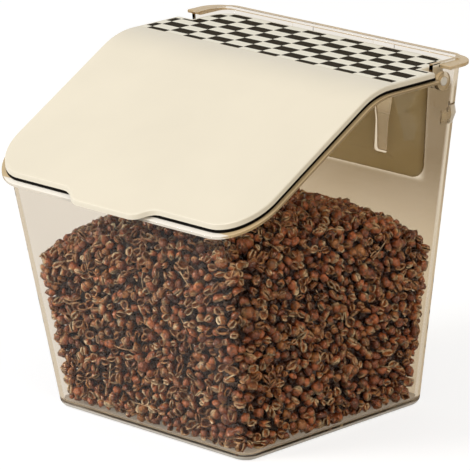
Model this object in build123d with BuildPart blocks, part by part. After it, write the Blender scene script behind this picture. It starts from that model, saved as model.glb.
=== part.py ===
from build123d import *
from math import atan2, degrees, radians, sqrt, tan
import os

os.makedirs("parts", exist_ok=True)

# A wall-mounted spice box: a clear drafted tub with a flanged mouth, and a bent lid on two hinge pins.
# X runs across the box, -Y is its front, Z is up, and the tub stands on Z = 0.

# Overall sizes
height = 120.0
lid_width = 120.0
flat_depth = 50.0
slope_depth = 61.5
slope_drop = 35.0
bend_radius = 28.0

# The lid's tab and its plate
tab_reach = 4.2
tab_base = 40.0
tab_tip = 28.8
tab_curve = 8.0
lid_thickness = 1.6
lid_front_corner = 15.0
lid_edge_round = 0.5
lid_rear_width = 106.0
lid_rear_corner = 8.0
lid_rear_gap = 4.3
shoulder = 20.4
shoulder_corner = 1.2
film_thickness = 0.2
film_margin = 1.2
film_setback = 2.6

# The seal under the lid, and the clear gap under the seal
seal_thickness = 1.0
seal_width = 3.2
seal_inset = 0.15
seal_gap = 0.2

# The tub's walls, with their lean inwards per millimetre of depth
wall = 1.6
floor = 2.2
wall_width = 111.8
wall_corner = 6.0
rear_setback = 0.4
front_setback = 1.05
side_draft = 0.085
front_draft = 0.173
rear_draft = 0.07
base_round = 3.0
foot_ring = 7.0
foot_step = 0.5

# The flange round the mouth
flange_overhang = 1.2
flange_thickness = 1.0
flange_edge_round = 0.3
rim_rise = 1.6
raised_step = 0.4
raised_thickness = 1.2
raised_corner = 9.0
raised_start = 14.6
raised_wall_start = 17.6
flange_end = 20.0

# The hinge
pivot_setback = 13.3
pivot_depth = 4.65
pin_radius = 1.6
pin_clearance = 0.05
pin_head_radius = 2.4
pin_head = 0.8
pin_end = 57.3
ear_radius = 3.0
ear_thickness = 1.8
boss_radius = 3.2
boss_face = 57.0

# The ridge, the two hooks and the pad on the back
ridge_depth = 17.7
ridge_half_height = 2.9
ridge_height = 0.7
ridge_reach = 12.0
ridge_start = 42.0
hook_offset = 18.8
hook_width = 5.6
hook_root_width = 9.6
hook_thickness = 1.2
hook_tip = 37.3
hook_waist = 27.0
hook_root = 14.0
hook_tip_round = 1.2
rear_clear = 0.2
pad_width = 77.0
pad_top = 3.0
pad_bottom = 43.5
pad_corner = 5.0
pad_thickness = 0.5
pad_gap = 0.3

# The heap of husks, with some of the husks in relief
heap_gap = 0.3
heap_radius = 120.0
heap_top = 79.5
heap_x = 18.0
heap_y = -11.0
heap_base_round = 1.0
husk_height = 1.5
husk_radius = 1.9
husk_sink = 0.2
husk_taper = 20.0
husk_sides = 4
husk_pitch = 8.8
husk_rows = 8
husk_turn = 137.5

# Places worked out from those sizes
back = (tab_reach + slope_depth + flat_depth) / 2
bend = back - flat_depth
front = bend - slope_depth
slope_angle = degrees(atan2(slope_drop, slope_depth))
half_turn = tan(radians(slope_angle / 2))
pivot_y = back - pivot_setback
pivot_z = height - pivot_depth
lid_rear = back - lid_rear_gap
seal_depth = lid_thickness + seal_thickness
flange_depth = seal_depth + seal_gap
rim_front_height = height - slope_drop - flange_depth
rim_height = height + rim_rise
raised_foot = rim_height - raised_step - raised_thickness
hook_end = raised_foot + raised_thickness / 2
far = 200.0
above = 4.0


def lid_line(depth, y_rear, y_front):
    """Draw the lid's bent line, moved down square to itself by depth, from the rear to the front."""
    centre = (bend + bend_radius * half_turn, height - bend_radius)
    arc = CenterArc(centre, bend_radius - depth, 90, slope_angle)
    start = arc @ 0
    end = arc @ 1
    run = end.X - y_front
    Line((y_rear, height - depth), start)
    tip = (y_front, end.Y - run * slope_drop / slope_depth)
    Line(end, tip)
    return (y_rear, height - depth), tip


def bent_band(upper, lower):
    """Give the strip between two depths under the lid's line, as a sketch across the box."""
    with BuildSketch(Plane.YZ) as band:
        with BuildLine():
            rear_upper, tip_upper = lid_line(upper, back, front - far)
            rear_lower, tip_lower = lid_line(lower, back, front - far)
            Line(rear_upper, rear_lower)
            Line(tip_upper, tip_lower)
        make_face()
    return band.sketch


def wall_places(z, inset):
    """Give the tub's half width and its rear and front at one height, moved in by inset."""
    fallen = height - z
    half_width = wall_width / 2 - side_draft * fallen - inset
    y_rear = back - rear_setback - rear_draft * fallen - inset
    y_front = front + front_setback - front_draft * (z - rim_front_height) + inset
    return half_width, y_rear, y_front


def wall_section(z, inset, corner):
    """Draw the tub's outline at one height, moved in by inset."""
    half_width, y_rear, y_front = wall_places(z, inset)
    with Locations((0, (y_rear + y_front) / 2)):
        RectangleRounded(2 * half_width, y_rear - y_front, corner)


def outline_edges(faces):
    """Pick the edges that only one of the faces has."""
    edges = ShapeList(edge for face in faces for edge in face.edges())
    return ShapeList(edge for edge in edges if sum(edge.is_same(other) for other in edges) == 1)


def facing(part, direction):
    """Pick the faces that look up (1) or down (-1)."""
    return part.faces().filter_by(lambda face: direction * face.normal_at(face.center()).Z > 0.5)


# The tub's outer form: a drafted box with a rounded foot
with BuildPart() as outer:
    for level in (0, height + above):
        with BuildSketch(Plane.XY.offset(level)):
            wall_section(level, 0, wall_corner)
    loft(ruled=True)
    fillet(outer.faces().sort_by(Axis.Z)[0].edges(), base_round)

# The hollow inside it
with BuildPart() as hollow:
    for level in (floor, height + above):
        with BuildSketch(Plane.XY.offset(level)):
            wall_section(level, wall, wall_corner - wall)
    loft(ruled=True)
    fillet(hollow.faces().sort_by(Axis.Z)[0].edges(), base_round - wall)

# The flange that carries the seal, along both sides and round the front
with BuildPart() as flange:
    flange_half = lid_width / 2 + flange_overhang
    flange_front = front - flange_overhang
    with BuildSketch():
        with BuildLine():
            Polyline(
                (-flange_half, back - flange_end),
                (-flange_half, flange_front),
                (flange_half, flange_front),
                (flange_half, back - flange_end),
                close=True,
            )
        make_face()
        fillet(vertices().group_by(Axis.Y)[0], lid_front_corner + flange_overhang)
    extrude(amount=height)
    extrude(
        bent_band(flange_depth, flange_depth + flange_thickness), amount=lid_width, both=True, mode=Mode.INTERSECT
    )
    fillet(outline_edges(facing(flange, 1)) + outline_edges(facing(flange, -1)), flange_edge_round)

# The raised flange behind the hinge, level with the lid
with BuildPart() as raised_flange:
    with BuildSketch(Plane.XY.offset(raised_foot)):
        with BuildLine():
            Polyline(
                (-flange_half, back - raised_start),
                (-flange_half, back),
                (flange_half, back),
                (flange_half, back - raised_start),
                close=True,
            )
        make_face()
        fillet(vertices().group_by(Axis.Y)[-1], raised_corner)
    extrude(amount=raised_thickness)
    fillet(outline_edges(facing(raised_flange, 1)) + outline_edges(facing(raised_flange, -1)), flange_edge_round)

# A ridge round each rear corner
with BuildPart() as ridge:
    for level in (-1, 0, 1):
        with BuildSketch(Plane.XY.offset(height - ridge_depth + level * ridge_half_height)):
            swell = 0.0 if level else ridge_height
            wall_section(height - ridge_depth + level * ridge_half_height, -swell, wall_corner + swell)
    loft(ruled=True)
    with BuildSketch(Plane.XY):
        with Locations((0, back)):
            Rectangle(lid_width, 2 * ridge_reach)
            Rectangle(2 * ridge_start, 2 * ridge_reach, mode=Mode.SUBTRACT)
    extrude(amount=height, mode=Mode.INTERSECT)

def hook_outline(extra):
    """Give a hook's outline, wider by extra, with Y as the depth below the rim."""
    half_tip = hook_width / 2 + extra
    half_root = hook_root_width / 2 + extra
    with BuildSketch() as outline:
        with BuildLine():
            Polyline(
                (-half_tip, hook_tip + extra),
                (half_tip, hook_tip + extra),
                (half_tip, hook_waist),
                (half_root, hook_root),
                (half_root, height - hook_end),
                (-half_root, height - hook_end),
                (-half_root, hook_root),
                (-half_tip, hook_waist),
                close=True,
            )
        make_face()
        fillet(vertices().group_by(Axis.Y)[-1], hook_tip_round)
    return outline.sketch


# A hook that hangs down behind the rear wall, as it stands on the middle of the back
with BuildPart() as hook:
    hook_back = back - rear_clear
    with BuildSketch(Plane((0, hook_back, height), x_dir=(1, 0, 0), z_dir=(0, 1, 0))):
        add(hook_outline(0))
    extrude(amount=-2 * ridge_reach)
    with BuildSketch(Plane.YZ):
        with Locations((hook_back - hook_thickness, height - hook_root)):
            Rectangle(2 * ridge_reach, hook_tip, align=(Align.MAX, Align.MAX))
    extrude(amount=hook_root_width, both=True, mode=Mode.SUBTRACT)
    add(outer.part, mode=Mode.SUBTRACT)

# The tub: outer form trimmed under the lid, with its flanges, ridge, hooks and hinge bosses
with BuildPart() as tub:
    add(outer.part)
    with BuildSketch(Plane.YZ):
        with BuildLine():
            step = back - raised_wall_start
            rear_point, tip_point = lid_line(flange_depth, step, front - far)
            Polyline(rear_point, (step, rim_height), (far, rim_height), (far, -far), (tip_point[0], -far), tip_point)
        make_face()
    extrude(amount=lid_width, both=True, mode=Mode.INTERSECT)
    add(flange.part)
    add(raised_flange.part)
    add(ridge.part)
    with Locations((-hook_offset, 0), (hook_offset, 0)):
        add(hook.part)
    for side in (-1, 1):
        with Locations(Location((side * (boss_face - 1), pivot_y, pivot_z), (0, 90, 0))):
            Cylinder(boss_radius, 2)
    add(hollow.part, mode=Mode.SUBTRACT)
    with Locations(Location((0, pivot_y, pivot_z), (0, 90, 0))):
        Cylinder(pin_radius + pin_clearance, 2 * lid_width, mode=Mode.SUBTRACT)
    with BuildSketch(Plane.XY):
        wall_section(0, foot_ring + base_round, wall_corner)
    extrude(amount=foot_step, mode=Mode.SUBTRACT)

tub.part.label = "tub"
export_step(tub.part, "parts/tub.step")


def lid_points(inset, y_front_edge, with_tab):
    """List the corners of the lid's plan: full width up to the shoulder, narrower inside the mouth."""
    half = lid_width / 2 - inset
    rear_half = lid_rear_width / 2 - inset
    y_shoulder = back - shoulder - inset
    y_rear = lid_rear - inset
    right = [(rear_half, y_rear), (rear_half, y_shoulder), (half, y_shoulder), (half, y_front_edge)]
    if with_tab:
        right += [(tab_base / 2, y_front_edge), (tab_tip / 2, y_front_edge - tab_reach)]
    left = [(-x, y) for x, y in reversed(right)]
    return right + left


def corners_at(y):
    """Pick the sketch's corners that lie at one distance from front to back."""
    return vertices().filter_by(lambda v: abs(v.Y - y) < 0.01)


# The lid: a bent plate with a lifting tab and two hinge ears
with BuildPart() as lid:
    with BuildSketch():
        with BuildLine():
            Polyline(*lid_points(0, front, True), close=True)
        make_face()
        fillet(corners_at(front).filter_by(lambda v: abs(v.X) > tab_base), lid_front_corner)
        fillet(corners_at(front).filter_by(lambda v: abs(v.X) < tab_base / 2 + 1), tab_curve)
        fillet(corners_at(front - tab_reach), tab_curve)
        fillet(corners_at(back - shoulder), shoulder_corner)
        fillet(corners_at(lid_rear), lid_rear_corner)
    extrude(amount=height)
    extrude(bent_band(0, lid_thickness), amount=lid_width, both=True, mode=Mode.INTERSECT)
    fillet(outline_edges(facing(lid, 1)), lid_edge_round)
    ear_face = lid_rear_width / 2
    for side in (-1, 1):
        with BuildSketch(Plane.YZ.offset(side * (ear_face - ear_thickness / 2))):
            with Locations((pivot_y, pivot_z)):
                Circle(ear_radius)
            with Locations((pivot_y, (pivot_z + height - lid_thickness) / 2)):
                Rectangle(2 * ear_radius, height - lid_thickness - pivot_z)
        extrude(amount=ear_thickness / 2, both=True)
    with Locations(Location((0, pivot_y, pivot_z), (0, 90, 0))):
        Cylinder(pin_radius, 2 * lid_width, mode=Mode.SUBTRACT)
    with BuildSketch(Plane.XY.offset(height)) as film_area:
        with BuildLine():
            film_front = bend + bend_radius * half_turn + film_setback
            Polyline(*lid_points(film_margin, film_front, False), close=True)
        make_face()
        fillet(vertices().group_by(Axis.Y)[-1], lid_rear_corner - film_margin)
    extrude(film_area.sketch, amount=-film_thickness, mode=Mode.SUBTRACT)

lid.part.label = "lid"
export_step(lid.part, "parts/lid.step")

# The printed film that lies flush in the lid's flat top
with BuildPart() as checker_film:
    add(film_area.sketch)
    extrude(amount=-film_thickness)

checker_film.part.label = "checker_film"
export_step(checker_film.part, "parts/checker_film.step")

# The seal: a strip under the lid's edge, from one hinge round the front to the other
with BuildPart() as lid_seal:
    seal_rear = back - shoulder - seal_inset
    with BuildSketch():
        for inset, mode in ((seal_inset, Mode.ADD), (seal_inset + seal_width, Mode.SUBTRACT)):
            half = lid_width / 2 - inset
            run = seal_rear - front - inset
            with Locations((0, seal_rear)):
                RectangleRounded(2 * half, 2 * run, lid_front_corner - inset, mode=mode)
        with Locations((0, seal_rear + lid_width)):
            Rectangle(2 * lid_width, 2 * lid_width, mode=Mode.SUBTRACT)
    extrude(amount=height)
    extrude(bent_band(lid_thickness, seal_depth), amount=lid_width, both=True, mode=Mode.INTERSECT)

lid_seal.part.label = "lid_seal"
export_step(lid_seal.part, "parts/lid_seal.step")

# The hinge pins: headed inside the box, pressed through the lid's ears and free in the tub's wall
head_face = ear_face - ear_thickness
for side, name in ((-1, "hinge_pin_left"), (1, "hinge_pin_right")):
    with BuildPart() as pin:
        with BuildSketch(Plane.YZ.offset(side * (head_face - pin_head))):
            with Locations((pivot_y, pivot_z)):
                Circle(pin_head_radius)
        extrude(amount=side * pin_head)
        with BuildSketch(Plane.YZ.offset(side * head_face)):
            with Locations((pivot_y, pivot_z)):
                Circle(pin_radius)
        extrude(amount=side * (pin_end - head_face))
        outer_end = pin.faces().sort_by(Axis.X)[-1 if side > 0 else 0]
        fillet(outer_end.edges(), pin_radius / 3)
    pin.part.label = name
    export_step(pin.part, f"parts/{name}.step")

# The thin pad on the rear wall, cut out round both hooks
with BuildPart() as back_pad:
    with BuildSketch(Plane((0, back - rear_setback, height), x_dir=(1, 0, 0), z_dir=(0, 1, -rear_draft))):
        with Locations((0, (pad_top + pad_bottom) / 2)):
            RectangleRounded(pad_width, pad_bottom - pad_top, pad_corner)
        with Locations((-hook_offset, 0), (hook_offset, 0)):
            add(hook_outline(pad_gap), mode=Mode.SUBTRACT)
    extrude(amount=pad_thickness)

back_pad.part.label = "back_pad"
export_step(back_pad.part, "parts/back_pad.step")

heap_inset = wall + heap_gap + husk_height
heap_reach = heap_radius - husk_height


def side_seats():
    """Lay husks in staggered rows over the heap's four sides, each facing out."""
    seats = []
    for row in range(husk_rows):
        z = floor + husk_pitch * (row + 0.75)
        half_width, y_rear, y_front = wall_places(z, heap_inset)
        half_depth = (y_rear - y_front) / 2
        for step in range(-husk_rows, husk_rows):
            along = husk_pitch * (step + row % 2 / 2)
            if abs(along) < half_width - wall_corner + husk_radius:
                seats.append(Plane((along, y_front, z), x_dir=(1, 0, 0), z_dir=(0, -1, -front_draft)))
                seats.append(Plane((along, y_rear, z), x_dir=(1, 0, 0), z_dir=(0, 1, -rear_draft)))
            if abs(along) < half_depth - wall_corner + husk_radius:
                y = (y_rear + y_front) / 2 + along
                seats.append(Plane((half_width, y, z), x_dir=(0, 1, 0), z_dir=(1, 0, -side_draft)))
                seats.append(Plane((-half_width, y, z), x_dir=(0, 1, 0), z_dir=(-1, 0, -side_draft)))
    heap_centre = Vector(heap_x, heap_y, heap_top - heap_radius)
    return [seat for seat in seats if (seat.origin - heap_centre).length < heap_reach - husk_radius]


def top_seats():
    """Lay husks in staggered rows over the heap's domed top."""
    seats = []
    for row in range(-husk_rows, husk_rows):
        for step in range(-husk_rows, husk_rows):
            x = husk_pitch * (step + row % 2 / 2)
            y = husk_pitch * row
            rise = sqrt(heap_reach**2 - (x - heap_x) ** 2 - (y - heap_y) ** 2)
            z = heap_top - heap_radius + rise
            half_width, y_rear, y_front = wall_places(z, heap_inset + husk_radius)
            if abs(x) < half_width and y_front < y < y_rear:
                seats.append(Plane((x, y, z), x_dir=(1, 0, 0), z_dir=(x - heap_x, y - heap_y, rise)))
    return seats


# One husk in relief: a low bead that stands on the heap
with BuildPart() as husk:
    with BuildSketch(Plane.XY.offset(-husk_sink)):
        RegularPolygon(husk_radius, husk_sides)
    extrude(amount=husk_height + husk_sink, taper=husk_taper)

# The heap of husks, a little clear of the walls
with BuildPart() as pepper_fill:
    for level in (floor, height + above):
        with BuildSketch(Plane.XY.offset(level)):
            wall_section(level, heap_inset, wall_corner - heap_inset)
    loft(ruled=True)
    fillet(pepper_fill.faces().sort_by(Axis.Z)[0].edges(), heap_base_round)
    with Locations((heap_x, heap_y, heap_top - heap_radius)):
        Sphere(heap_reach, mode=Mode.INTERSECT)
    turned = [Location(seat) * Rotation(0, 0, husk_turn * n) for n, seat in enumerate(side_seats() + top_seats())]
    with Locations(*turned):
        add(husk.part)

pepper_fill.part.label = "pepper_fill"
export_step(pepper_fill.part, "parts/pepper_fill.step")
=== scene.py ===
import math

import bmesh
import bpy
import numpy as np
from mathutils import Matrix, Quaternion, Vector
from mathutils.bvhtree import BVHTree


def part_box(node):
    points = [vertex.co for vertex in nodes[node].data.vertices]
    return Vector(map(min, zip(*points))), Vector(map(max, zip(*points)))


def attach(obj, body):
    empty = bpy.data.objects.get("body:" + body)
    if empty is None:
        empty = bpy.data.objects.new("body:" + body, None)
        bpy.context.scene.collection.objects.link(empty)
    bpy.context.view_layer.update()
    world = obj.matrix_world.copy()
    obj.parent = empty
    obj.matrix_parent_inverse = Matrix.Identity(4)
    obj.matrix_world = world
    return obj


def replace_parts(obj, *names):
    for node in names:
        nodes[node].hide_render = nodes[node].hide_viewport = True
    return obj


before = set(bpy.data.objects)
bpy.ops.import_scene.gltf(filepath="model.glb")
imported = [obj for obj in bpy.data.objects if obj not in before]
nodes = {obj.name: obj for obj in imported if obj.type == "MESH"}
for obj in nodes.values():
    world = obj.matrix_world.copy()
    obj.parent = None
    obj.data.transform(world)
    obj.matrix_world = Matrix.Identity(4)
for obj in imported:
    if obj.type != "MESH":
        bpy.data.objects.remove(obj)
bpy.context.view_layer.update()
MM = 0.001

# Camera, at the photograph's angle
CAMERA_TARGET = Vector((-0.29 * MM, 3.85 * MM, 59.92 * MM))
CAMERA_AZIMUTH = math.radians(44.58)
CAMERA_ELEVATION = math.radians(16.2)
CAMERA_ROLL = math.radians(-0.53)
CAMERA_DISTANCE = 1.4792
FOCAL_PIXELS = 4404.3
IMAGE_SIDE = 470.0
SENSOR_MM = 36.0
CLIP_NEAR = 0.05
CLIP_FAR = 50.0


def make_camera():
    data = bpy.data.cameras.new("camera")
    data.sensor_width = SENSOR_MM
    data.lens = FOCAL_PIXELS / IMAGE_SIDE * SENSOR_MM
    data.clip_start = CLIP_NEAR
    data.clip_end = CLIP_FAR
    camera = bpy.data.objects.new("camera", data)
    back = Vector(
        (
            math.sin(CAMERA_AZIMUTH) * math.cos(CAMERA_ELEVATION),
            -math.cos(CAMERA_AZIMUTH) * math.cos(CAMERA_ELEVATION),
            math.sin(CAMERA_ELEVATION),
        )
    )
    camera.location = CAMERA_TARGET + back * CAMERA_DISTANCE
    aim = (-back).to_track_quat("-Z", "Y")
    camera.rotation_euler = (aim @ Quaternion((0.0, 0.0, 1.0), CAMERA_ROLL)).to_euler()
    bpy.context.scene.collection.objects.link(camera)
    bpy.context.scene.camera = camera


make_camera()


# Node helpers
MIX_FACTOR, MIX_A, MIX_B, MIX_RESULT = 0, 6, 7, 2
NOISE_SPAN = (0.3, 0.7)
FINER_DETAIL = 3.0
TOLERANCE = 0.1


class Shader:
    """A material's node tree, with short calls to add and join nodes."""

    def __init__(self, name):
        self.material = bpy.data.materials.new(name)
        self.material.use_nodes = True
        self.tree = self.material.node_tree
        self.tree.nodes.clear()
        self.output = self.tree.nodes.new("ShaderNodeOutputMaterial")

    def node(self, kind, inputs=None, **settings):
        made = self.tree.nodes.new(kind)
        for key, value in settings.items():
            setattr(made, key, value)
        for key, value in (inputs or {}).items():
            self.join(value, made.inputs[key])
        return made

    def join(self, value, socket):
        if isinstance(value, bpy.types.NodeSocket):
            self.tree.links.new(value, socket)
            return
        takes_alpha = hasattr(socket.default_value, "__len__") and len(socket.default_value) == 4
        socket.default_value = (*value, 1.0) if takes_alpha else value

    def math(self, operation, a, b=0.0, c=0.0):
        return self.node("ShaderNodeMath", {0: a, 1: b, 2: c}, operation=operation).outputs[0]

    def plus(self, a, b):
        return self.math("ADD", a, b)

    def minus(self, a, b):
        return self.math("SUBTRACT", a, b)

    def times(self, a, b):
        return self.math("MULTIPLY", a, b)

    def largest(self, value, *others):
        for other in others:
            value = self.math("MAXIMUM", value, other)
        return value

    def mix(self, factor, a, b, blend_type="MIX"):
        made = self.node("ShaderNodeMix", data_type="RGBA", blend_type=blend_type)
        self.join(factor, made.inputs[MIX_FACTOR])
        self.join(a, made.inputs[MIX_A])
        self.join(b, made.inputs[MIX_B])
        return made.outputs[MIX_RESULT]

    def ramp(self, value, low, high, start=0.0, end=1.0):
        """Go smoothly from start to end as the value goes from low to high."""
        inputs = {0: value, 1: low, 2: high, 3: start, 4: end}
        return self.node("ShaderNodeMapRange", inputs, interpolation_type="SMOOTHSTEP").outputs[0]

    def position(self):
        return self.node("ShaderNodeTexCoord").outputs["Object"]

    def axes(self, vector=None):
        return self.node("ShaderNodeSeparateXYZ", {0: vector or self.position()}).outputs

    def noise(self, scale, detail=2.0, roughness=0.5):
        inputs = {"Vector": self.position(), "Scale": scale, "Detail": detail, "Roughness": roughness}
        return self.node("ShaderNodeTexNoise", inputs).outputs["Fac"]

    def cells(self, scale):
        """How far each place is from the middle of its cell."""
        inputs = {"Vector": self.position(), "Scale": scale}
        return self.node("ShaderNodeTexVoronoi", inputs).outputs["Distance"]

    def uneven(self, scale, low, high, detail=2.0):
        """A number that wanders between low and high over the surface."""
        return self.ramp(self.noise(scale, detail), *NOISE_SPAN, low, high)

    def bump(self, height, strength, distance):
        inputs = {"Strength": strength, "Distance": distance, "Height": height}
        return self.node("ShaderNodeBump", inputs).outputs["Normal"]

    def principled(self, inputs):
        return self.node("ShaderNodeBsdfPrincipled", inputs).outputs[0]

    def blend(self, factor, first, second):
        """Mix two shaders."""
        return self.node("ShaderNodeMixShader", {0: factor, 1: first, 2: second}).outputs[0]

    def finish(self, surface):
        self.tree.links.new(surface, self.output.inputs["Surface"])
        return self.material


def dress(name, material):
    """Give a CAD node a material in place of the one it was packed with."""
    slots = nodes[name].data.materials
    if not slots:
        slots.append(material)
    for index in range(len(slots)):
        slots[index] = material


# Clear plastic: refracts to the eye, and lets lamps and soft light through to what is inside
IOR = 1.49
FINE_SCALE = 1500.0
FACE_SHARE = 0.5
BOUNCE_TINT = (0.74, 0.66, 0.54)
BOUNCE_SPAN = (0.5, 0.9)

# The outer faces of the tub's walls at the foot, and how far each leans out per unit of height
REAR_LINE = 47.45 * MM
REAR_LEAN = 0.07
SIDE_LINE = 45.7 * MM
SIDE_LEAN = 0.085
FRONT_LINE = -38.38 * MM
FRONT_LEAN = -0.173

# Where each part of the tub sets in: spans past the walls' outer faces, and heights
REAR_START = (-0.5 * MM, -0.1 * MM)
SIDE_START = (-2.4 * MM, -1.8 * MM)
RIM_START = (0.1 * MM, 0.5 * MM)
RIM_HEIGHT = (76 * MM, 77 * MM)
UP_SPAN = (0.3, 0.4)
HOOKS_START = (2.0 * MM, 2.4 * MM)
HOOKS_HALF = 26 * MM
HOOKS_TOP = 117 * MM
FOOT_SPAN = (2.3 * MM, 1.6 * MM)
RIDGE_SIDE = 49 * MM
RIDGE_REAR = 50.5 * MM
RIDGE_MIDDLE = 102.3 * MM
RIDGE_HALF = 3.2 * MM
PAD_SIDE = (40.5 * MM, 36.5 * MM)
PAD_LOW = (75.5 * MM, 77.5 * MM)
# The painted shade on the rear wall: the heights over which it deepens, and where it gives way under the rim
REAR_SHADE = (52 * MM, 88 * MM)
REAR_TOP = (110 * MM, 114 * MM)

# Tints of the clear plastic, and the painted shade of its rear wall
WALL_TINT = (0.845, 0.80, 0.734)
# Painted shade on the rear wall, from its lower tone to its darkest near the top
REAR_PAINTED_SHADE_LOW = (0.65, 0.54, 0.39)
REAR_PAINTED_SHADE_HIGH = (0.28, 0.205, 0.115)
PAD_TINT = (0.80, 0.71, 0.56)
RIM_TINT = (0.86, 0.78, 0.62)
FRONT_RIM_TINT = (0.95, 0.93, 0.90)
STREAK_TINT = (0.95, 0.92, 0.88)
STREAK_SCALE = 18.0
STREAK_SPAN = (0.35, 0.65)
STREAK_SHARE = 0.06
FRONT_GLOSS = 0.22
SIDE_GLOSS = 0.04
WALL_GRAIN_SCALE = 900.0
WALL_ROUGHNESS = (0.02, 0.045)

# The milky parts, and how milky each is; the pale hooks and foot are painted highlights, for the light that
# the clear plastic catches there
RIM_BODY = (0.62, 0.47, 0.27)
RIM_SHARE = 0.45
FRONT_RIM_BODY = (0.92, 0.88, 0.80)
FRONT_RIM_SHARE = 0.15
LIP_SHARE = 0.85
HOOK_PAINTED_HIGHLIGHT = (0.85, 0.76, 0.60)
HOOK_SHARE = 0.35
RIDGE_BODY = (0.80, 0.70, 0.54)
RIDGE_SHARE = 0.8
FOOT_PAINTED_HIGHLIGHT = (0.95, 0.90, 0.80)
FOOT_SHARE = 0.75
MILKY_ROUGHNESS = 0.35
MILKY_SPECULAR = 0.3


def clear_body(s, colour, gloss, grain):
    """Glass that shows little of the sky in its faces, but keeps its bright edges.

    A ray meets each wall twice, so each face takes half of the tint.
    """
    each_face = s.node("ShaderNodeGamma", {"Color": colour, "Gamma": FACE_SHARE}).outputs[0]
    glass = s.principled({"Base Color": colour, "Roughness": grain, "IOR": IOR, "Transmission Weight": 1.0})
    bent = s.node("ShaderNodeBsdfRefraction", {"Color": each_face, "Roughness": grain, "IOR": IOR}).outputs[0]
    thrown_back = s.node("ShaderNodeBsdfGlossy", {"Color": BOUNCE_TINT, "Roughness": grain}).outputs[0]
    grazing = s.ramp(s.node("ShaderNodeFresnel", {"IOR": IOR}).outputs[0], *BOUNCE_SPAN)
    seen = s.blend(grazing, s.blend(gloss, bent, glass), thrown_back)
    see_through = s.node("ShaderNodeBsdfTransparent", {"Color": each_face}).outputs[0]
    rays = s.node("ShaderNodeLightPath").outputs
    soft = s.largest(rays["Is Shadow Ray"], rays["Is Diffuse Ray"])
    return s.blend(soft, seen, see_through)


def tub_plastic():
    """Painted shade in the rear wall, darker towards the top, and milky in the flange, the hooks, the ridge
    and the foot; the pale hooks and foot are painted highlights.
    """
    s = Shader("clear_plastic")
    x, y, z = s.axes()
    across = s.math("ABSOLUTE", x)
    past_rear = s.minus(y, s.plus(s.times(z, REAR_LEAN), REAR_LINE))
    past_side = s.minus(across, s.plus(s.times(z, SIDE_LEAN), SIDE_LINE))
    past_front = s.minus(s.plus(s.times(z, FRONT_LEAN), FRONT_LINE), y)
    high = s.ramp(z, *RIM_HEIGHT)

    # Each part of the tub, as 1 on it and 0 off it
    behind = s.ramp(past_rear, *REAR_START)
    side_wall = s.ramp(past_side, *SIDE_START)
    front_rim = s.ramp(past_front, *RIM_START)
    rim = s.times(s.largest(s.ramp(past_side, *RIM_START), front_rim), high)
    normal = s.node("ShaderNodeNewGeometry").outputs["True Normal"]
    lip = s.times(s.ramp(s.axes(normal)[2], *UP_SPAN), high)
    hooks = s.times(s.ramp(past_rear, *HOOKS_START), s.math("LESS_THAN", across, HOOKS_HALF))
    hooks = s.times(hooks, s.math("LESS_THAN", z, HOOKS_TOP))
    ridge = s.times(s.math("GREATER_THAN", across, RIDGE_SIDE), s.math("GREATER_THAN", y, RIDGE_REAR))
    ridge = s.times(ridge, s.math("COMPARE", z, RIDGE_MIDDLE, RIDGE_HALF))
    foot = s.ramp(z, *FOOT_SPAN)
    by_pad = s.times(s.ramp(across, *PAD_SIDE), s.ramp(z, *PAD_LOW))

    # The clear plastic, with painted shade on the rear wall: darker and browner towards the top under the
    # lid, paler where the pad lies behind it, and plain again at the top
    rear = s.mix(s.ramp(z, *REAR_SHADE), REAR_PAINTED_SHADE_LOW, REAR_PAINTED_SHADE_HIGH)
    rear = s.mix(by_pad, rear, PAD_TINT)
    rear = s.mix(s.ramp(z, *REAR_TOP), rear, WALL_TINT)
    colour = s.mix(behind, WALL_TINT, rear)
    colour = s.mix(rim, colour, s.mix(front_rim, RIM_TINT, FRONT_RIM_TINT))
    streaks = s.ramp(s.noise(STREAK_SCALE), *STREAK_SPAN, 0.0, STREAK_SHARE)
    colour = s.mix(streaks, colour, STREAK_TINT)
    gloss = s.plus(s.times(side_wall, SIDE_GLOSS - FRONT_GLOSS), FRONT_GLOSS)
    clear = clear_body(s, colour, gloss, s.uneven(WALL_GRAIN_SCALE, *WALL_ROUGHNESS, FINER_DETAIL))

    # The milky plastic
    body = s.mix(front_rim, RIM_BODY, FRONT_RIM_BODY)
    # The pale hooks and foot are painted highlights of the clear plastic
    for part, its_body in ((hooks, HOOK_PAINTED_HIGHLIGHT), (ridge, RIDGE_BODY), (foot, FOOT_PAINTED_HIGHLIGHT)):
        body = s.mix(part, body, its_body)
    milky = s.principled(
        {"Base Color": body, "Roughness": MILKY_ROUGHNESS, "Specular IOR Level": MILKY_SPECULAR}
    )
    rim_share = s.plus(s.times(front_rim, FRONT_RIM_SHARE - RIM_SHARE), RIM_SHARE)
    share = s.largest(
        s.times(rim, rim_share),
        s.times(lip, LIP_SHARE),
        s.times(hooks, HOOK_SHARE),
        s.times(ridge, RIDGE_SHARE),
        s.times(foot, FOOT_SHARE),
    )
    return s.finish(s.blend(share, clear, milky))


# Milky, polished plastic of the hinge pins
PIN_COLOURS = ((0.88, 0.82, 0.70), (0.94, 0.90, 0.80))
PIN_TONE_SCALE = 400.0
PIN_ROUGHNESS = (0.15, 0.25)
PIN_CLEARNESS = 0.3


def pin_plastic():
    s = Shader("pin_plastic")
    skin = {
        "Base Color": s.mix(s.noise(PIN_TONE_SCALE), *PIN_COLOURS),
        "Roughness": s.uneven(FINE_SCALE, *PIN_ROUGHNESS),
        "Transmission Weight": PIN_CLEARNESS,
        "IOR": IOR,
    }
    return s.finish(s.principled(skin))


# Opaque plastic of the lid, with a faint mould grain and a slight unevenness of tone
CREAM = (0.800, 0.737, 0.596)
CREAM_UNEVENNESS = 0.04
LID_TONE_SCALE = 25.0
LID_GRAIN_SCALE = 1600.0
LID_GRAIN_DEPTH = 0.02 * MM
LID_GRAIN_STRENGTH = 0.15
LID_ROUGHNESS = (0.33, 0.43)
LID_IOR = 1.5


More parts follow.
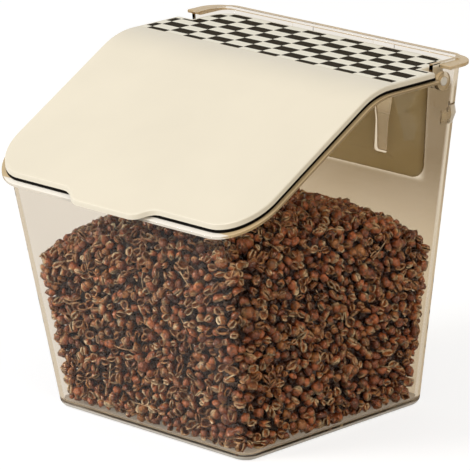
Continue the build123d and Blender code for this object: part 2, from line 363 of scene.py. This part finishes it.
def lid_plastic():
    s = Shader("lid_plastic")
    tone = s.uneven(LID_TONE_SCALE, 0.0, 1.0, FINER_DETAIL)
    fine = s.noise(LID_GRAIN_SCALE)
    darker = tuple(c * (1.0 - CREAM_UNEVENNESS) for c in CREAM)
    skin = {
        "Base Color": s.mix(tone, darker, CREAM),
        "Roughness": s.ramp(fine, *NOISE_SPAN, *LID_ROUGHNESS),
        "IOR": LID_IOR,
        "Normal": s.bump(fine, LID_GRAIN_STRENGTH, LID_GRAIN_DEPTH),
    }
    return s.finish(s.principled(skin))


# The printed film: a checkerboard of dark and cream cells
CELL_X = 8.746 * MM
CELL_Y = 4.73 * MM
CELL_START_X = -55.9 * MM
CELL_START_Y = 20.8 * MM
PRINT_FRONT = 18.2 * MM
PRINT_RIGHT = 57.8 * MM
PRINT_PALE = (0.93, 0.895, 0.775)
INK_COLOURS = ((0.014, 0.009, 0.003), (0.026, 0.018, 0.007))
INK_SCALE = 300.0
WOBBLE = 0.25 * MM
WOBBLE_SCALE = 500.0
PRINT_GRAIN_SCALE = 1400.0
PRINT_ROUGHNESS = (0.5, 0.62)
PRINT_SPECULAR = 0.015


def printed_film():
    s = Shader("printed_film")
    x, y, _ = s.axes()
    wobble = s.times(s.minus(s.noise(WOBBLE_SCALE), 0.5), WOBBLE)
    column = s.math("FLOOR", s.math("DIVIDE", s.plus(s.minus(x, CELL_START_X), wobble), CELL_X))
    row = s.math("FLOOR", s.math("DIVIDE", s.plus(s.minus(y, CELL_START_Y), wobble), CELL_Y))
    odd_column = s.math("FLOORED_MODULO", column, 2.0)
    even_row = s.minus(1.0, s.math("FLOORED_MODULO", row, 2.0))
    dark = s.math("COMPARE", odd_column, even_row, TOLERANCE)
    on_print = s.math("GREATER_THAN", y, PRINT_FRONT)
    inked = s.times(s.times(dark, on_print), s.math("LESS_THAN", x, PRINT_RIGHT))
    pale = s.mix(on_print, CREAM, PRINT_PALE)
    ink = s.mix(s.noise(INK_SCALE, FINER_DETAIL), *INK_COLOURS)
    skin = {
        "Base Color": s.mix(inked, pale, ink),
        "Roughness": s.uneven(PRINT_GRAIN_SCALE, *PRINT_ROUGHNESS),
        "Specular IOR Level": PRINT_SPECULAR,
    }
    return s.finish(s.principled(skin))


# Black rubber of the seal, matt and a little dusty
SEAL_COLOURS = ((0.004, 0.003, 0.002), (0.010, 0.008, 0.005))
DUST_SCALE = 700.0
DUST_DETAIL = 4.0
DUST_BREAKUP = 0.7
DUST_SPAN = (0.5, 0.8)
SEAL_ROUGHNESS = (0.5, 0.7)
SEAL_SPECULAR = 0.03
SEAL_BUMP_SCALE = 2500.0
SEAL_BUMP_STRENGTH = 0.3
SEAL_BUMP_DEPTH = 0.03 * MM


def seal_rubber():
    s = Shader("seal_rubber")
    dust = s.ramp(s.noise(DUST_SCALE, DUST_DETAIL, DUST_BREAKUP), *DUST_SPAN)
    skin = {
        "Base Color": s.mix(dust, *SEAL_COLOURS),
        "Roughness": s.uneven(FINE_SCALE, *SEAL_ROUGHNESS),
        "Specular IOR Level": SEAL_SPECULAR,
        "Normal": s.bump(s.noise(SEAL_BUMP_SCALE), SEAL_BUMP_STRENGTH, SEAL_BUMP_DEPTH),
    }
    return s.finish(s.principled(skin))


# The brown pad behind the rear wall stands in for the lid's shade on that wall: a dark sheet as painted
# shade, which lets some of the light behind it through
PAD_SHADE_COLOURS = ((0.46, 0.39, 0.25), (0.53, 0.46, 0.31))
PAD_SHADE_TONE_SCALE = 120.0
FOAM_LIGHT = (0.88, 0.80, 0.60)
FOAM_LIGHT_SHARE = 0.5
FOAM_CELL_SCALE = 1300.0
FOAM_CELL_STRENGTH = 0.3
FOAM_CELL_DEPTH = 0.1 * MM
FOAM_ROUGHNESS = (0.7, 0.85)
FOAM_SPECULAR = 0.1


def pad_foam():
    s = Shader("pad_foam")
    skin = {
        "Base Color": s.mix(s.noise(PAD_SHADE_TONE_SCALE, FINER_DETAIL), *PAD_SHADE_COLOURS),
        "Roughness": s.uneven(FINE_SCALE, *FOAM_ROUGHNESS),
        "Specular IOR Level": FOAM_SPECULAR,
        "Normal": s.bump(s.cells(FOAM_CELL_SCALE), FOAM_CELL_STRENGTH, FOAM_CELL_DEPTH),
    }
    through = s.node("ShaderNodeBsdfTranslucent", {"Color": FOAM_LIGHT}).outputs[0]
    return s.finish(s.blend(FOAM_LIGHT_SHARE, s.principled(skin), through))


dress("tub", tub_plastic())
dress("lid", lid_plastic())
dress("checker_film", printed_film())
dress("lid_seal", seal_rubber())
# The pad's brown sheet is painted shade on the rear wall
dress("back_pad", pad_foam())
for pin in ("hinge_pin_left", "hinge_pin_right"):
    dress(pin, pin_plastic())


# Husks: small round shells, each split open along a mouth with a pale rim
HUSK_RADIUS = 1.85 * MM
HUSK_GAP = 2.75 * MM
HUSK_SIZES = (0.78, 1.15)
HUSK_STRETCH = (0.78, 1.2)
HUSK_DENTS = 0.12
MERIDIANS = 5
BANDS = 4
MOUTH_FLARE = 1.06
INNER_PALE = 0.5
BEAD_RADIUS = 0.95

# Each kind of husk: half the angle of its mouth, its depth and its wall as shares of its radius
HUSK_KINDS = (
    (0.16, 0.9, 0.32),
    (0.4, 0.8, 0.3),
    (0.65, 0.72, 0.28),
    (0.9, 0.7, 0.26),
    (1.2, 0.8, 0.24),
    (1.5, 0.85, 0.22),
)

# The layers of husks: depth under the envelope, places tried and how loosely the mouths face out
OUTER_DEPTH = 1.55 * MM
OUTER_TRIES = 60000
OUTER_LOOSENESS = 1.1
UNDER_DEPTH = 3.8 * MM
UNDER_TRIES = 30000
UNDER_LOOSENESS = 1.0
HEAP_ROUGHNESS = 1.4 * MM
INSIDE_SHARE = 0.85
FACING = 0.5
CORE_SCALE = 0.91

# The stalks
STALK_DEPTH = 0.7 * MM
STALK_TRIES = 4000
STALK_GAP = 15.0 * MM
STALK_PROUD = 0.3 * MM
STALK_LENGTH = (5.0 * MM, 12.0 * MM)
STALK_RADIUS = (0.22 * MM, 0.36 * MM)
STALK_DIP = (-0.1, 0.0)
STALK_BEND = (-0.5, 0.5)
STALK_TAPER = 0.6
STALK_STEPS = 7
STALK_SIDES = 4

rng = np.random.default_rng(7)


def heap_envelope():
    """The smooth skin round the CAD heap and its husks in relief, as a mesh."""
    shape = bmesh.new()
    shape.from_mesh(nodes["pepper_fill"].data)
    hull = bmesh.ops.convex_hull(shape, input=shape.verts, use_existing_faces=False)
    bmesh.ops.delete(shape, geom=hull["geom_interior"] + hull["geom_unused"], context="VERTS")
    bmesh.ops.recalc_face_normals(shape, faces=shape.faces)
    mesh = bpy.data.meshes.new("heap_envelope")
    shape.to_mesh(mesh)
    shape.free()
    return mesh


envelope = heap_envelope()
skin_tree = BVHTree.FromPolygons(
    [vertex.co for vertex in envelope.vertices],
    [polygon.vertices[:] for polygon in envelope.polygons],
)


def husk_shape(mouth, squeeze, thickness):
    """Vertices, faces and paleness of a hollow shell with an open mouth."""
    angles = np.linspace(mouth, 2 * math.pi - mouth, MERIDIANS + 1)
    levels = np.linspace(0, math.pi, BANDS + 1)[1:-1]
    points, pale = [], []
    for shell, radius in enumerate((1.0, 1.0 - thickness)):
        for m, angle in enumerate(angles):
            at_mouth = m in (0, MERIDIANS)
            flare = MOUTH_FLARE if at_mouth and shell == 0 else 1.0
            for level in levels:
                ring = radius * math.sin(level) * flare
                across, out = ring * math.sin(angle), ring * math.cos(angle)
                points.append((radius * math.cos(level), out, squeeze * across))
                pale.append(1.0 if at_mouth else INNER_PALE * shell)
        points += [(radius, 0.0, 0.0), (-radius, 0.0, 0.0)]
        pale += [INNER_PALE, INNER_PALE]
    count = len(points) // 2
    rows = len(levels)
    faces = []
    for shell in (0, 1):
        base = shell * count
        for m in range(MERIDIANS):
            here = [base + m * rows + r for r in range(rows)]
            there = [base + (m + 1) * rows + r for r in range(rows)]
            strips = [(base + count - 2, here[0], there[0])]
            strips += [(here[r], here[r + 1], there[r + 1], there[r]) for r in range(rows - 1)]
            strips += [(here[-1], base + count - 1, there[-1])]
            faces += strips if shell == 0 else [tuple(reversed(face)) for face in strips]
    for m, flip in ((0, True), (MERIDIANS, False)):
        line = [count - 2] + [m * rows + r for r in range(rows)] + [count - 1]
        for a, b in zip(line, line[1:]):
            face = (a, b, b + count, a + count)
            faces.append(tuple(reversed(face)) if flip else face)
    return np.array(points), faces, np.array(pale)


def bead_shape():
    """A plain closed bead, for the husks that lie under the outer ones."""
    shape = bmesh.new()
    bmesh.ops.create_icosphere(shape, subdivisions=1, radius=BEAD_RADIUS)
    points = np.array([v.co[:] for v in shape.verts])
    faces = [tuple(v.index for v in f.verts) for f in shape.faces]
    shape.free()
    return points, faces, np.zeros(len(points))


HUSK_SHAPES = [husk_shape(*kind) for kind in HUSK_KINDS]


def depth_of(place):
    """How deep a place lies inside the envelope, below zero where it is outside."""
    nearest, normal, _, away = skin_tree.find_nearest(place)
    return away if (Vector(place) - nearest).dot(normal) < 0 else -away


def spread(depth, tries):
    """Random places at a depth under the heap's envelope, with the way out from each."""
    envelope.calc_loop_triangles()
    corners = np.array([[envelope.vertices[i].co[:] for i in t.vertices] for t in envelope.loop_triangles])
    cross = np.cross(corners[:, 1] - corners[:, 0], corners[:, 2] - corners[:, 0])
    sizes = np.linalg.norm(cross, axis=1)
    picks = rng.choice(len(sizes), size=tries, p=sizes / sizes.sum())
    a = np.sqrt(rng.random(tries))[:, None]
    b = rng.random(tries)[:, None]
    picked = corners[picks]
    places = (1 - a) * picked[:, 0] + a * (1 - b) * picked[:, 1] + a * b * picked[:, 2]
    out = cross[picks] / sizes[picks][:, None]
    open_top = out[:, 2] > FACING
    depths = depth + np.where(open_top, rng.random(tries) * HEAP_ROUGHNESS, 0.0)
    places = places - out * depths[:, None]
    kept = [depth_of(place) >= INSIDE_SHARE * depth for place in places]
    return places[kept], out[kept]


def thin_out(places, out, gap, taken):
    """Drop each place that is nearer than the gap to one that was kept before it."""
    kept = []
    steps = [(i, j, k) for i in (-1, 0, 1) for j in (-1, 0, 1) for k in (-1, 0, 1)]
    for index, place in enumerate(places):
        cell = tuple(np.floor(place / gap).astype(int))
        near = [other for step in steps for other in taken.get(tuple(np.add(cell, step)), ())]
        if near and ((np.array(near) - place) ** 2).sum(axis=1).min() < gap**2:
            continue
        taken.setdefault(cell, []).append(place)
        kept.append(index)
    return places[kept], out[kept]


def unit(vectors):
    return vectors / np.linalg.norm(vectors, axis=1)[:, None]


def turns_towards(out, looseness):
    """Rotation matrices that turn each husk's mouth roughly the way out of the heap."""
    mouth = unit(out + looseness * rng.normal(size=out.shape))
    length = unit(np.cross(mouth, rng.normal(size=out.shape)))
    return np.stack([length, mouth, np.cross(length, mouth)], axis=2)


# Dry husk, from its darkest tone to its palest
OUTSIDE_COLOURS = ((0.20, 0.048, 0.016), (0.64, 0.205, 0.080))
ODD_COLOUR = (0.54, 0.23, 0.075)
ODD_SPAN = (0.72, 1.0)
TONE_SHUFFLE = 17.0
INSIDE_COLOURS = ((0.22, 0.064, 0.018), (0.64, 0.27, 0.09))
INSIDE_SPAN = (0.25, 0.5)
MOUTH_COLOURS = ((0.60, 0.29, 0.11), (1.0, 0.86, 0.60))
MOUTH_SPAN = (0.55, 0.92)
MOUTH_POWER = 1.3
PATCH_COLOUR = (0.035, 0.010, 0.004)
PATCH_SCALE = 700.0
PATCH_SPAN = (0.42, 0.66)
PATCH_SHARE = 0.75
WART_SCALE = 1700.0
WART_STRENGTH = 0.8
WART_DEPTH = 0.25 * MM
HUSK_ROUGHNESS = (0.28, 0.45)
HUSK_SPECULAR = 0.6
# Painted shade: the husks under the outer ones and the core take the skin darkened by this share
DEEP_SHADE = 0.18


def husk_skin(name, shade):
    """A tone of its own for each husk, paler inside and along the mouth, with dark patches and warts."""
    s = Shader(name)
    tone = s.node("ShaderNodeAttribute", attribute_name="tone").outputs["Fac"]
    pale = s.node("ShaderNodeAttribute", attribute_name="pale").outputs["Fac"]
    odd = s.ramp(s.math("FRACT", s.times(tone, TONE_SHUFFLE)), *ODD_SPAN)
    colour = s.mix(odd, s.mix(tone, *OUTSIDE_COLOURS), ODD_COLOUR)
    colour = s.mix(s.ramp(pale, *INSIDE_SPAN), colour, s.mix(tone, *INSIDE_COLOURS))
    mouth = s.mix(s.math("POWER", tone, MOUTH_POWER), *MOUTH_COLOURS)
    colour = s.mix(s.ramp(pale, *MOUTH_SPAN), colour, mouth)
    patch = s.ramp(s.noise(PATCH_SCALE, FINER_DETAIL), *PATCH_SPAN, 0.0, PATCH_SHARE)
    colour = s.mix(patch, colour, PATCH_COLOUR)
    skin = {
        # A shade below 1 darkens the whole skin: painted shade, for the husks deep in the heap
        "Base Color": s.mix(1.0, colour, (shade, shade, shade), "MULTIPLY"),
        "Roughness": s.uneven(FINE_SCALE, *HUSK_ROUGHNESS),
        "Specular IOR Level": HUSK_SPECULAR,
        "Normal": s.bump(s.cells(WART_SCALE), WART_STRENGTH, WART_DEPTH),
    }
    return s.finish(s.principled(skin))


HUSK_SKIN = husk_skin("husk_skin", 1.0)
DEEP_SHADED_SKIN = husk_skin("deep_shaded_husk_skin", DEEP_SHADE)


def add_mesh(name, mesh):
    """Put a mesh in the scene as part of the tub's contents."""
    made = bpy.data.objects.new(name, mesh)
    bpy.context.scene.collection.objects.link(made)
    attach(made, "tub")
    return made


def husk_mesh(name, points, faces, tones, pales, skin):
    """Add a piece of husks, with each point's tone and paleness kept as attributes."""
    mesh = bpy.data.meshes.new(name)
    mesh.from_pydata(points, [], faces)
    for key, values in (("tone", tones), ("pale", pales)):
        layer = mesh.attributes.new(key, "FLOAT", "POINT")
        layer.data.foreach_set("value", np.array(values, dtype=np.float32))
    mesh.polygons.foreach_set("use_smooth", np.ones(len(faces), bool))
    mesh.materials.append(skin)
    mesh.update()
    add_mesh(name, mesh)


def merge(name, shapes, places, out, looseness, skin):
    """One piece of many husks, each turned, stretched and dented in its own way."""
    turns = turns_towards(out, looseness)
    sizes = HUSK_RADIUS * rng.uniform(*HUSK_SIZES, len(places))
    stretches = rng.uniform(*HUSK_STRETCH, (len(places), 3))
    kinds = rng.integers(0, len(shapes), len(places))
    points, faces, pales, tones = [], [], [], []
    start = 0
    for place, turn, size, stretch, kind in zip(places, turns, sizes, stretches, kinds):
        base, its_faces, its_pale = shapes[kind]
        dents = 1.0 + HUSK_DENTS * rng.normal(size=(len(base), 1))
        points.append((base * dents * stretch * size) @ turn.T + place)
        faces.extend(tuple(i + start for i in face) for face in its_faces)
        pales.append(its_pale)
        tones.append(np.full(len(base), rng.random()))
        start += len(base)
    points, tones, pales = (np.concatenate(parts) for parts in (points, tones, pales))
    husk_mesh(name, points.tolist(), faces, tones, pales, skin)


def make_husks():
    """Open husks over the heap, a piece for each side of it, on a layer of plain beads."""
    taken = {}
    places, out = thin_out(*spread(OUTER_DEPTH, OUTER_TRIES), HUSK_GAP, taken)
    sides = {
        "front": out[:, 1] < -FACING,
        "right": out[:, 0] > FACING,
        "left": out[:, 0] < -FACING,
        "top": out[:, 2] > FACING,
    }
    sides["rear"] = ~np.any(list(sides.values()), axis=0)
    for name, chosen in sides.items():
        merge("husks_" + name, HUSK_SHAPES, places[chosen], out[chosen], OUTER_LOOSENESS, HUSK_SKIN)
    under, under_out = thin_out(*spread(UNDER_DEPTH, UNDER_TRIES), HUSK_GAP, taken)
    # The beads under the outer husks wear the darkened skin, as painted shade
    merge("husks_under", [bead_shape()], under, under_out, UNDER_LOOSENESS, DEEP_SHADED_SKIN)


def stalk(middle, ahead, side, length, radius):
    """Points and faces of a thin curved twig that tapers to one end."""
    points, faces = [], []
    bend = rng.uniform(*STALK_BEND)
    up = np.cross(ahead, side)
    for step in range(STALK_STEPS):
        t = step / (STALK_STEPS - 1)
        centre = middle + ahead * (t - 0.5) * length + side * bend * length * (t - 0.5) ** 2
        ring = radius * (1.0 - STALK_TAPER * t)
        for k in range(STALK_SIDES):
            angle = 2 * math.pi * k / STALK_SIDES
            points.append(centre + ring * (math.cos(angle) * side + math.sin(angle) * up))
    for step in range(STALK_STEPS - 1):
        for k in range(STALK_SIDES):
            a = step * STALK_SIDES + k
            b = step * STALK_SIDES + (k + 1) % STALK_SIDES
            faces.append((a, b, b + STALK_SIDES, a + STALK_SIDES))
    faces.append(tuple(reversed(range(STALK_SIDES))))
    faces.append(tuple(range((STALK_STEPS - 1) * STALK_SIDES, STALK_STEPS * STALK_SIDES)))
    return points, faces


def make_stalks():
    """A few tan stalks among the outer husks, none of them far past the envelope."""
    places, out = thin_out(*spread(STALK_DEPTH, STALK_TRIES), STALK_GAP, {})
    points, faces, tones = [], [], []
    for place, way_out in zip(places, out):
        ahead = np.cross(way_out, rng.normal(size=3))
        ahead = ahead / np.linalg.norm(ahead) + rng.uniform(*STALK_DIP) * way_out
        ahead /= np.linalg.norm(ahead)
        side = np.cross(ahead, way_out)
        side /= np.linalg.norm(side)
        length = rng.uniform(*STALK_LENGTH)
        its_points, its_faces = stalk(place, ahead, side, length, rng.uniform(*STALK_RADIUS))
        if min(depth_of(point) for point in its_points) < -STALK_PROUD:
            continue
        start = len(points)
        points += its_points
        faces += [tuple(i + start for i in face) for face in its_faces]
        tones += [rng.random()] * len(its_points)
    husk_mesh("stalks", [list(p) for p in points], faces, tones, np.ones(len(points)), HUSK_SKIN)


def make_core():
    """The inside of the heap, a rough solid under the husks, dark with painted shade."""
    mesh = envelope.copy()
    mesh.name = "husk_core"
    low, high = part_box("pepper_fill")
    middle = (low + high) / 2
    mesh.transform(Matrix.Translation(middle) @ Matrix.Scale(CORE_SCALE, 4) @ Matrix.Translation(-middle))
    mesh.materials.clear()
    mesh.materials.append(DEEP_SHADED_SKIN)
    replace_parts(add_mesh("husk_core", mesh), "pepper_fill")


make_core()
make_husks()
make_stalks()


# Floor and light
SEEN_RAYS = ("Is Camera Ray", "Is Glossy Ray", "Is Transmission Ray")
WHITE = (1.0, 1.0, 1.0)
BLACK = (0.0, 0.0, 0.0)
FLOOR_GREY = (0.4, 0.4, 0.4)
FLOOR_GLOW = 0.74
FLOOR_HALF = 8.0
FLOOR_Z = -0.05 * MM
WORLD_LIGHT = 0.4
WORLD_SEEN = 1.0
RANGE_START, RANGE_END = 3, 4
LAMP_AIM = Vector((0, 0, 60 * MM))

# Each lamp: its name, place, size, watts and colour
LAMPS = (
    ("key_lamp", (-0.5, -1.1, 1.3), 0.6, 11.5, WHITE),
    ("front_lamp", (-0.8, -1.2, 0.14), 0.5, 11.0, (1.0, 0.97, 0.93)),
    ("side_lamp", (1.3, -0.3, 0.8), 0.6, 7.0, (1.0, 0.86, 0.66)),
)


def floor_white():
    """White to the eye, in gloss and through clear plastic, and a plain diffuse floor to the lamps."""
    s = Shader("floor_white")
    plain = s.node("ShaderNodeBsdfDiffuse", {"Color": FLOOR_GREY}).outputs[0]
    glow = s.node("ShaderNodeEmission", {"Color": WHITE, "Strength": FLOOR_GLOW}).outputs[0]
    dark = s.node("ShaderNodeEmission", {"Color": BLACK, "Strength": 0.0}).outputs[0]
    rays = s.node("ShaderNodeLightPath").outputs
    seen = s.largest(*(rays[name] for name in SEEN_RAYS))
    return s.finish(s.node("ShaderNodeAddShader", {0: plain, 1: s.blend(seen, dark, glow)}).outputs[0])


def make_floor():
    mesh = bpy.data.meshes.new("floor")
    corners = ((-1, -1), (1, -1), (1, 1), (-1, 1))
    mesh.from_pydata([(x * FLOOR_HALF, y * FLOOR_HALF, FLOOR_Z) for x, y in corners], [], [(0, 1, 2, 3)])
    mesh.materials.append(floor_white())
    floor = bpy.data.objects.new("floor", mesh)
    bpy.context.scene.collection.objects.link(floor)


def make_lamp(name, place, size, watts, colour):
    data = bpy.data.lights.new(name, "AREA")
    data.shape = "SQUARE"
    data.size = size
    data.energy = watts
    data.color = colour
    lamp = bpy.data.objects.new(name, data)
    lamp.location = place
    lamp.rotation_euler = (LAMP_AIM - Vector(place)).to_track_quat("-Z", "Y").to_euler()
    bpy.context.scene.collection.objects.link(lamp)


def make_world():
    """A plain sky, white where it is seen and dimmer as light."""
    world = bpy.data.worlds.new("world")
    bpy.context.scene.world = world
    world.use_nodes = True
    tree = world.node_tree
    tree.nodes.clear()
    rays = tree.nodes.new("ShaderNodeLightPath").outputs
    seen = rays[SEEN_RAYS[0]]
    for name in SEEN_RAYS[1:]:
        join = tree.nodes.new("ShaderNodeMath")
        join.operation = "MAXIMUM"
        tree.links.new(seen, join.inputs[0])
        tree.links.new(rays[name], join.inputs[1])
        seen = join.outputs[0]
    level = tree.nodes.new("ShaderNodeMapRange")
    level.inputs[RANGE_START].default_value = WORLD_LIGHT
    level.inputs[RANGE_END].default_value = WORLD_SEEN
    tree.links.new(seen, level.inputs[0])
    background = tree.nodes.new("ShaderNodeBackground")
    tree.links.new(level.outputs[0], background.inputs["Strength"])
    background.inputs["Color"].default_value = (*WHITE, 1.0)
    output = tree.nodes.new("ShaderNodeOutputWorld")
    tree.links.new(background.outputs[0], output.inputs["Surface"])


make_floor()
make_world()
for lamp in LAMPS:
    make_lamp(*lamp)

bpy.context.scene.view_settings.view_transform = "Standard"
